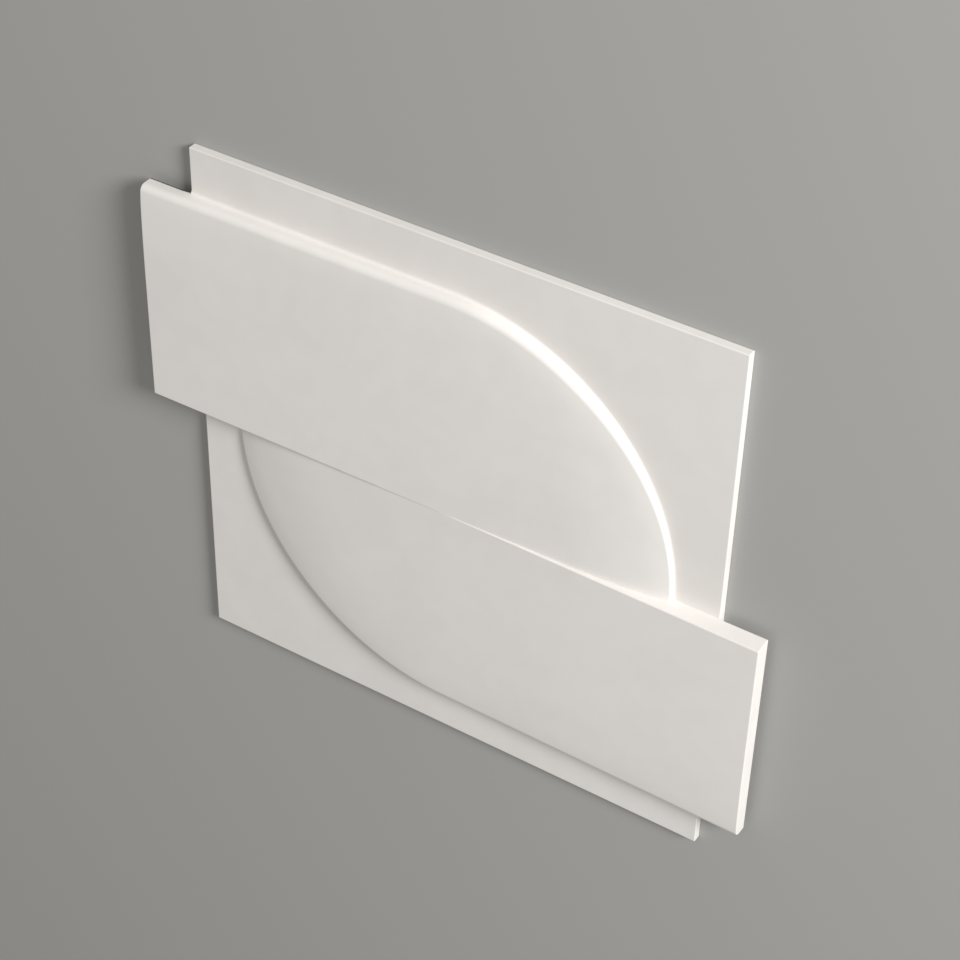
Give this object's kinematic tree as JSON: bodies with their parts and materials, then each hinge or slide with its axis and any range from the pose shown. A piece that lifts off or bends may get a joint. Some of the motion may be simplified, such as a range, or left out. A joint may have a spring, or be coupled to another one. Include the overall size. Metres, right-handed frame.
{
  "type": "plaster wall panel",
  "caption": "Cast plaster relief wall panel: a square plate with a split, raised disc whose halves run out into broad bands that lap over the neighbouring panels.",
  "frame": {"origin": "centre of the plate's flat back, on the plane the panel lies on", "axes": "+Z out of the panel's front, +Y up the wall, +X to the right seen from the front, along the bands"},
  "size_m": [0.584, 0.5, 0.0242],
  "materials": {
    "plaster": "matte warm white cast plaster, smooth from the mould"
  },
  "bodies": {
    "root": {"panel": "plaster"}
  },
  "joints": []
}
